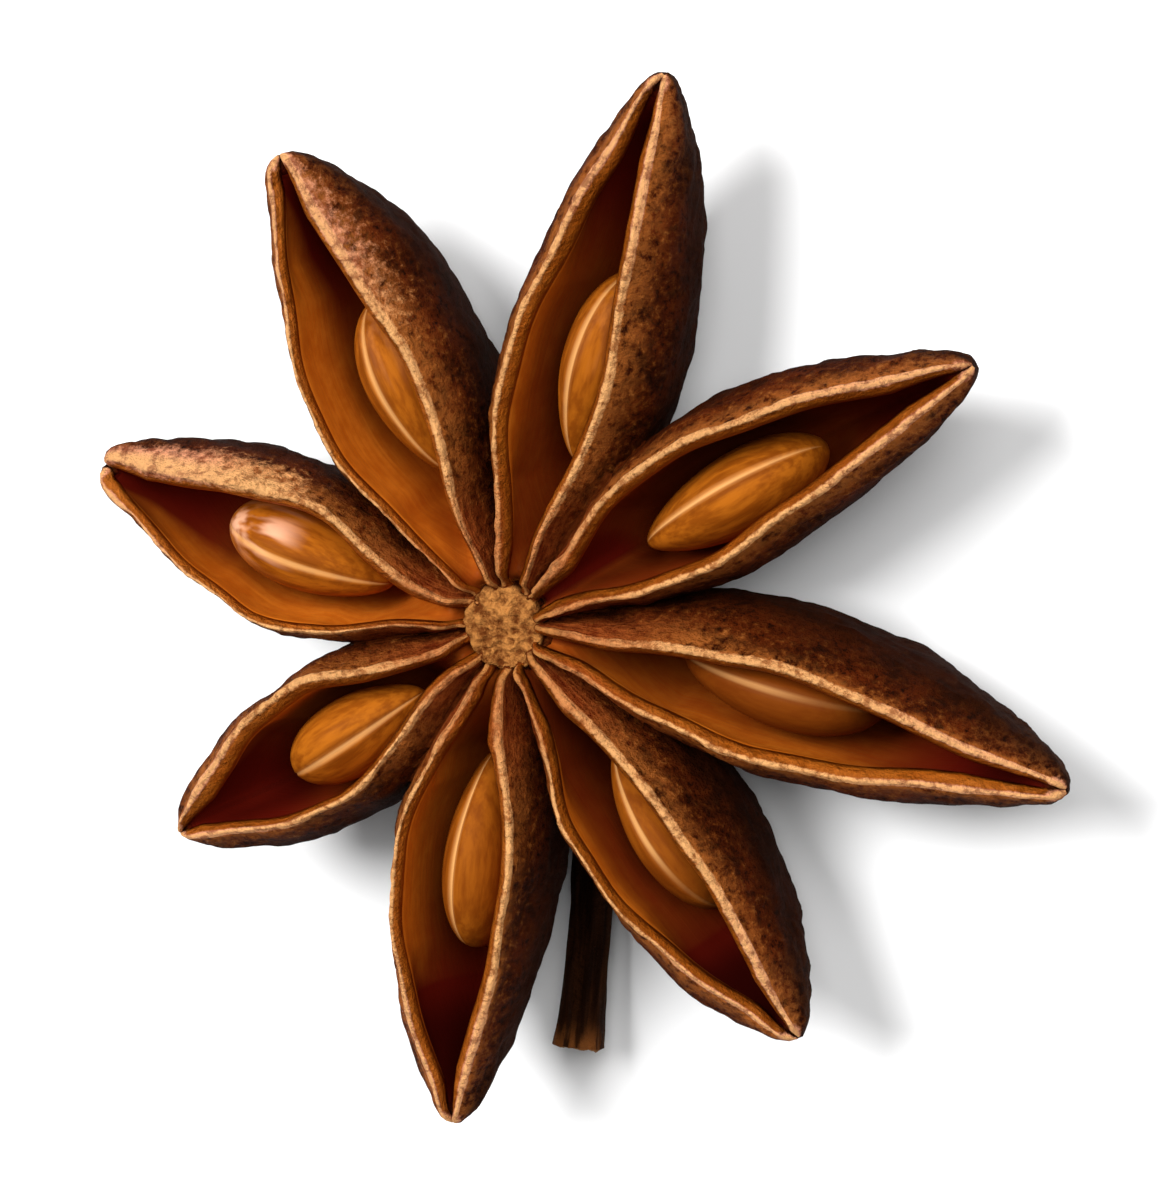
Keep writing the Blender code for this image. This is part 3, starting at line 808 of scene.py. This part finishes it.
def seed_piece(number, follicle, material):
    """A glossy seed with the fine ridge that runs along it."""
    radius, side, _, _, lip, keel = follicle_form(follicle, follicle.seed_at)
    tall = SEED_HEIGHT * follicle.seed_length
    height = lip - SEED_BELOW_LIP - 0.5 * tall
    lean = follicle.lean * math.sin(math.pi * follicle.seed_at) / (lip - keel)
    side += follicle.seed_side + lean * (lip - height)

    # A round body that runs along x, blunt at its outer end
    polar = np.linspace(POLE, math.pi - POLE, SEED_RINGS)[:, None]
    turn = (2.0 * math.pi * np.arange(SEED_SIDES) / SEED_SIDES)[None, :]
    x = -0.5 * np.cos(polar) * np.ones_like(turn)
    y = 0.5 * np.sin(polar) * np.sin(turn)
    z = 0.5 * np.sin(polar) * np.cos(turn)
    taper = SEED_BLUNT - SEED_TAPER * (0.5 - x) ** 2
    narrow = 1.0 - SEED_UNDERCUT * np.clip(-z, 0.0, 1.0)
    points = np.stack([
        x * follicle.seed_length,
        y * SEED_THICKNESS * follicle.width * taper * narrow - lean * z * tall,
        z * tall * taper,
    ], axis=-1)

    # The ridge along its top, with a groove on each side, and the marks that its material reads
    off_top = (turn + math.pi) % (2.0 * math.pi) - math.pi
    beside = off_top - own(SEED_RIDGE, number)
    ridge = bump(beside, RIDGE_WIDTH) * np.sin(polar) ** 0.5
    groove = bump(np.abs(beside) - GROOVE_AT, GROOVE_WIDTH) * np.sin(polar) ** 0.5
    # Painted shade: in the grooves, over the outer end, and over a seed that lies in shadow
    outer_shade = own(SEED_OUTER_SHADE, number) * ramp(x, -0.05, 0.35)
    coat_shade = np.minimum(np.maximum(0.6 * groove, own(SEED_SHADE, number) + 0.4 * outer_shade), 1.0)
    # A painted highlight in streaks towards the seed's outer end, near its top
    painted_sheen = own(SEED_SHEEN, number) * ramp(x, -0.05, 0.2) * ease((0.5 - x) / 0.08)
    painted_sheen = painted_sheen * bump(off_top + 0.3, 0.6)
    uneven = SEED_SWELL * field(points / 1.7 + number * 3.0)
    move = RIDGE_HEIGHT * ridge - GROOVE_DEPTH * groove + uneven
    points = (points + outward(points) * move[..., None]).reshape(-1, 3)

    angle = math.radians(follicle.azimuth)
    cos, sin = math.cos(angle), math.sin(angle)
    turned = np.array(((cos, -sin, 0.0), (sin, cos, 0.0), (0.0, 0.0, 1.0)))
    place = turned @ np.array((radius, side, 0.0)) + np.array((0.0, 0.0, height))
    marks = {"ridge": (ridge * (1.0 - outer_shade)).ravel(), "coat_shade": coat_shade.ravel(), "painted_sheen": painted_sheen.ravel()}
    faces = ring_faces(SEED_RINGS, SEED_SIDES)
    grain = points + 20.0 * number
    seed = mesh_object(f"glossy_seed_{number}", points @ turned.T + place, faces, marks, grain)
    seed.data.materials.append(material)
    seed.data.shade_smooth()
    return seed


class Nodes:
    """Short ways to write a material's nodes."""

    def __init__(self, name):
        self.material = bpy.data.materials.new(name)
        self.material.use_nodes = True
        self.tree = self.material.node_tree
        self.shader = self.tree.nodes["Principled BSDF"]

    def node(self, kind, inputs=None, **settings):
        made = self.tree.nodes.new(kind)
        for key, value in settings.items():
            setattr(made, key, value)
        for key, value in (inputs or {}).items():
            self.put(made.inputs[key], value)
        return made

    def put(self, socket, value):
        if isinstance(value, bpy.types.NodeSocket):
            self.tree.links.new(value, socket)
        else:
            socket.default_value = value

    def mark(self, name, output="Fac"):
        return self.node("ShaderNodeAttribute", attribute_name=name).outputs[output]

    def math(self, operation, a, b):
        return self.node("ShaderNodeMath", {0: a, 1: b}, operation=operation).outputs[0]

    def times(self, a, b):
        return self.math("MULTIPLY", a, b)

    def scaled(self, vector, scale):
        return self.node("ShaderNodeMapping", {"Vector": vector, "Scale": scale}).outputs[0]

    def noise(self, vector, scale, detail=2.0, roughness=0.5, distortion=0.0):
        inputs = {
            "Vector": vector, "Scale": scale, "Detail": detail,
            "Roughness": roughness, "Distortion": distortion,
        }
        return self.node("ShaderNodeTexNoise", inputs).outputs[0]

    def span(self, value, low, high, to_low=0.0, to_high=1.0):
        """A smooth step between two values, to two others."""
        inputs = {0: value, 1: low, 2: high, 3: to_low, 4: to_high}
        return self.node("ShaderNodeMapRange", inputs, interpolation_type="SMOOTHSTEP").outputs[0]

    def mix(self, factor, a, b):
        """A colour between a and b."""
        made = self.node("ShaderNodeMix", data_type="RGBA")
        for socket, value in ((0, factor), (6, a), (7, b)):
            self.put(made.inputs[socket], (*value, 1.0) if isinstance(value, tuple) else value)
        return made.outputs[2]

    def blend(self, factor, a, b):
        """A number between a and b."""
        return self.node("ShaderNodeMix", {0: factor, 2: a, 3: b}, data_type="FLOAT").outputs[0]

    def relief(self, height):
        """Low relief on the shader, from a height in millimetres."""
        made = self.node("ShaderNodeBump", {"Height": height, "Distance": MM, "Strength": 1.0})
        self.put(self.shader.inputs["Normal"], made.outputs[0])


def wood_material():
    """The fruit's material, by marks for lips, hollows, depth and painted shade, length, column and stalk.
    """
    n = Nodes("follicle_wood")
    place = n.scaled(n.node("ShaderNodeTexCoord").outputs["Object"], (1000.0, 1000.0, 1000.0))
    grain = n.mark("grain", "Vector")
    crest, inside, deep = n.mark("crest"), n.mark("inside"), n.mark("deep")
    along, column, stalk = n.mark("along"), n.mark("column"), n.mark("stalk")

    # The outer wall: dark, red and matt, with pits between pale grains, and rubbed paler by the lips and tip
    grit = n.noise(place, 3.4, 5.0, 0.72)
    patches = n.span(n.noise(place, 0.6, 3.0, 0.6), 0.36, 0.64)
    wall = n.mix(patches, WALL_DARK, WALL_RED)
    # Pale grains on the relief's peaks: partly real grit, partly painted highlight, fewer lower down
    grain_highlight_share = n.span(deep, 0.03, 0.34, 1.0, 0.22)
    wall = n.mix(n.times(n.span(grit, 0.48, 0.62), grain_highlight_share), wall, GRAIN_AND_HIGHLIGHT)
    wall = n.mix(n.times(n.span(grit, 0.58, 0.72), grain_highlight_share), wall, GRAIN_AND_BRIGHT_HIGHLIGHT)
    # Painted shade in the relief's pits
    wall = n.mix(n.span(grit, 0.34, 0.47, 1.0, 0.0), wall, PIT_SHADE)
    lumps = n.noise(place, 1.25, 3.0, 0.6)
    # Painted shade in the dents between the larger lumps
    wall = n.mix(n.span(lumps, 0.32, 0.47, 0.75, 0.0), wall, DENT_SHADE)
    rubbed = n.times(n.span(deep, 0.0, 0.20, 1.0, 0.0), n.span(n.noise(place, 2.4, 4.0, 0.7), 0.34, 0.56))
    rubbed = n.times(rubbed, n.span(along, 0.12, 0.30, 0.2, 0.8))
    wall = n.mix(rubbed, wall, RUBBED)
    by_tip = n.times(n.span(along, 0.75, 1.0), n.span(grit, 0.40, 0.62))
    wall = n.mix(n.times(by_tip, 0.6), wall, TIP_TAN)

    # The wall's root: fibrous and redder. Every wall is in shadow low down.
    fibres = n.noise(n.scaled(grain, FIBRE_GRAIN), 1.0, 4.0, 0.66, 0.5)
    fibres = n.blend(0.4, fibres, n.noise(place, 2.8, 4.0, 0.72))
    fibrous = n.mix(n.span(fibres, 0.40, 0.60), FIBRE_DARK, FIBRE_PALE)
    by_root = n.times(n.span(along, 0.12, 0.34, 1.0, 0.0), n.span(deep, 0.03, 0.24, 1.0, 0.0))
    wall = n.mix(n.times(by_root, 0.85), wall, fibrous)
    shaded = n.times(n.span(deep, 0.04, 0.42, 0.0, 0.88), n.blend(by_root, 1.0, 0.4))
    wall = n.mix(shaded, wall, WALL_SHADOW)

    # The hollow: smooth and amber, streaked along its length, with painted shade in its depths
    streaks = n.noise(n.scaled(grain, STREAK_GRAIN), 1.0, 3.0, 0.6)
    mottled = n.blend(0.55, streaks, n.noise(place, 1.7, 4.0, 0.65))
    amber = n.mix(n.span(mottled, 0.36, 0.64), AMBER_DARK, AMBER_PALE)
    cloud = n.span(n.noise(grain, 0.9, 2.0), 0.35, 0.7)
    amber = n.mix(n.times(cloud, 0.3), amber, AMBER_CLOUD)
    amber = n.mix(deep, amber, AMBER_SHADE)
    # Darker painted shade still at the tips of some hollows
    amber = n.mix(n.span(deep, 1.0, 1.5), amber, AMBER_DEEPEST_SHADE)

    # The lip's crest: pale and crumbled, pinker towards the tip and rosy near the column
    beads = n.span(n.noise(place, 2.6, 4.0, 0.72), 0.36, 0.60)
    pale = n.mix(beads, CREST_DARK, CREST_PALE)
    rosy = n.mix(n.span(fibres, 0.38, 0.56), ROSY_DARK, ROSY_PALE)
    pinker = n.mix(beads, PINK_DARK, PINK_PALE)
    pale = n.mix(n.span(along, 0.58, 0.82, 0.0, 0.85), pale, pinker)
    pale = n.mix(n.span(along, 0.14, 0.30, 0.85, 0.0), pale, rosy)
    edge = n.times(n.span(crest, 0.72, 0.98), n.span(beads, 0.0, 0.8, 0.30, 0.85))
    edge = n.times(edge, n.span(along, 0.14, 0.34, 0.25, 1.0))
    pale = n.mix(edge, pale, CREST_EDGE)

    # The column's top, with painted shade between its knobs, and the stalk, with painted shade on its bark
    crumbs = n.math("SUBTRACT", n.noise(place, 3.2, 5.0, 0.75), n.times(deep, 0.22))
    tan = n.mix(n.span(crumbs, 0.20, 0.56), TOP_DARK, TOP_PALE)
    pale = n.mix(n.span(along, 0.035, 0.10, 0.7, 0.0), pale, tan)
    bark_lines = n.noise(n.scaled(grain, BARK_GRAIN), 1.0, 3.0)
    # The bark is dark of its own, and darker still with painted shade
    bark = n.mix(n.span(bark_lines, 0.35, 0.7), BARK_SHADED_DARK, BARK_SHADED_PALE)
    frayed = n.times(n.span(along, 0.93, 0.995), n.span(bark_lines, 0.40, 0.60, 0.1, 0.9))
    bark = n.mix(frayed, bark, BARK_FRAYED)
    bark = n.mix(crest, bark, BARK_CUT)

    ragged = n.span(n.math("ADD", crest, n.times(grit, 0.9)), 0.92, 1.28)
    colour = n.mix(inside, wall, amber)
    colour = n.mix(ragged, colour, pale)
    colour = n.mix(n.span(column, 0.35, 0.75), colour, tan)
    colour = n.mix(stalk, colour, bark)
    n.put(n.shader.inputs["Base Color"], colour)

    rough = n.blend(inside, 0.85, n.span(streaks, 0.3, 0.7, 0.30, 0.40))
    rough = n.blend(n.math("MAXIMUM", crest, n.math("MAXIMUM", column, stalk)), rough, 0.8)
    n.put(n.shader.inputs["Roughness"], rough)
    n.shader.inputs["Specular IOR Level"].default_value = 0.04
    n.shader.inputs["Specular Tint"].default_value = (1.0, 0.50, 0.26, 1.0)

    fine_lines = n.noise(n.scaled(grain, FINE_GRAIN), 1.0, 2.0)
    rough_wall = n.math("ADD", n.times(grit, 0.50), n.times(lumps, 0.45))
    fibrous_wall = n.math("ADD", n.times(fibres, 0.42), n.times(grit, 0.50))
    height = n.blend(by_root, rough_wall, fibrous_wall)
    n.relief(n.blend(inside, height, n.times(n.blend(0.5, fine_lines, mottled), 0.022)))
    return n.material


def seed_material():
    """The seeds' glossy coat, by the marks for their ridge, their painted shade and their painted highlight.
    """
    n = Nodes("seed_coat")
    grain = n.mark("grain", "Vector")
    ridge, coat_shade = n.mark("ridge"), n.mark("coat_shade")
    lines = n.noise(n.scaled(grain, COAT_GRAIN), 1.0, 3.0, 0.6)
    coat = n.mix(n.span(lines, 0.35, 0.66), COAT_DARK, COAT_PALE)
    # Painted shade, which also dims the pale ridge below
    coat = n.mix(n.times(coat_shade, 0.85), coat, COAT_SHADED)
    # A painted highlight in streaks
    sheen_streaks = n.noise(n.scaled(grain, SHEEN_GRAIN), 1.0, 1.5, 0.5)
    coat = n.mix(n.times(n.mark("painted_sheen"), n.span(sheen_streaks, 0.38, 0.64)), coat, COAT_SHEEN)
    coat = n.mix(n.times(ridge, n.span(coat_shade, 0.62, 1.0, 0.8, 0.5)), coat, RIDGE_PALE)
    n.put(n.shader.inputs["Base Color"], coat)
    n.put(n.shader.inputs["Roughness"], n.span(lines, 0.3, 0.7, 0.48, 0.58))
    n.shader.inputs["Specular IOR Level"].default_value = 0.06
    n.shader.inputs["Specular Tint"].default_value = (1.0, 0.60, 0.36, 1.0)
    n.relief(n.times(lines, 0.02))
    return n.material


def build_pieces():
    """The fruit and its seeds, each in place of its node in the CAD model."""
    wood, coat = wood_material(), seed_material()
    solids = [column_piece(), stalk_piece()]
    solids += [follicle_piece(number, follicle) for number, follicle in enumerate(FOLLICLES, 1)]
    fruit = joined("woody_fruit", solids, wood)
    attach(fruit, "root")
    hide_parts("fruit")
    for number, follicle in enumerate(FOLLICLES, 1):
        seed = seed_piece(number, follicle, coat)
        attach(seed, "root")
        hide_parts(f"seed_{number}")


def add_camera():
    """Looks down from the photograph's angle, with +Y up in the picture."""
    tilt, turn = CAMERA_TILT, CAMERA_TURN
    back = Vector((math.sin(tilt) * math.cos(turn), math.sin(tilt) * math.sin(turn), math.cos(tilt)))
    out = Vector((math.cos(turn), math.sin(turn), 0.0))
    over = Vector((-math.sin(turn), math.cos(turn), 0.0))
    foreshortened = (out - back * out.dot(back)).normalized()
    right = math.cos(turn) * foreshortened - math.sin(turn) * over
    up = math.sin(turn) * foreshortened + math.cos(turn) * over
    data = bpy.data.cameras.new("camera")
    data.lens = LENS
    data.sensor_width = SENSOR
    data.clip_start, data.clip_end = CLIP_METRES
    camera = bpy.data.objects.new("camera", data)
    aim = Vector((*COLUMN_AT, COLUMN_TOP)) + right * AIM[0] + up * AIM[1]
    place = Matrix((right, up, back)).transposed().to_4x4()
    place.translation = (aim + back * VIEW_HEIGHT * LENS / SENSOR) * MM
    camera.matrix_world = place
    bpy.context.scene.collection.objects.link(camera)
    bpy.context.scene.camera = camera


def add_light(name, azimuth, elevation, strength, softness):
    """A wide soft light from far away, in degrees, turned towards the fruit."""
    data = bpy.data.lights.new(name, "SUN")
    data.energy = strength
    data.angle = math.radians(softness)
    light = bpy.data.objects.new(name, data)
    a, e = math.radians(azimuth), math.radians(elevation)
    away = Vector((math.cos(a) * math.cos(e), math.sin(a) * math.cos(e), math.sin(e)))
    light.location = away
    light.rotation_mode = "QUATERNION"
    light.rotation_quaternion = away.to_track_quat("Z", "Y")
    bpy.context.scene.collection.objects.link(light)


def add_table():
    """A plain white table top."""
    mesh = bpy.data.meshes.new("floor")
    half = TABLE_HALF_METRES
    corners = [(-half, -half, 0.0), (half, -half, 0.0), (half, half, 0.0), (-half, half, 0.0)]
    mesh.from_pydata(corners, [], [(0, 1, 2, 3)])
    floor = bpy.data.objects.new("floor", mesh)
    bpy.context.scene.collection.objects.link(floor)
    n = Nodes("white_table")
    n.shader.inputs["Base Color"].default_value = TABLE_WHITE
    n.shader.inputs["Roughness"].default_value = 0.9
    n.shader.inputs["Specular IOR Level"].default_value = 0.1
    mesh.materials.append(n.material)


def add_sky():
    """A white studio that is bright along the horizon and dim overhead."""
    world = bpy.data.worlds.new("studio")
    world.use_nodes = True
    nodes, links = world.node_tree.nodes, world.node_tree.links
    background = nodes["Background"]
    background.inputs["Color"].default_value = (1.0, 1.0, 1.0, 1.0)
    towards = nodes.new("ShaderNodeTexCoord")
    parts = nodes.new("ShaderNodeSeparateXYZ")
    fade = nodes.new("ShaderNodeMapRange")
    for socket, value in enumerate((*GLOW_HEIGHTS, GLOW, SKY), 1):
        fade.inputs[socket].default_value = value
    links.new(towards.outputs["Generated"], parts.inputs[0])
    links.new(parts.outputs["Z"], fade.inputs[0])
    links.new(fade.outputs[0], background.inputs["Strength"])
    bpy.context.scene.world = world


add_camera()
add_table()
add_sky()
add_light("key", azimuth=132, elevation=60, strength=3.9, softness=28.0)
add_light("second", azimuth=45, elevation=56, strength=1.95, softness=34.0)
bpy.context.scene.view_settings.view_transform = "Standard"
build_pieces()
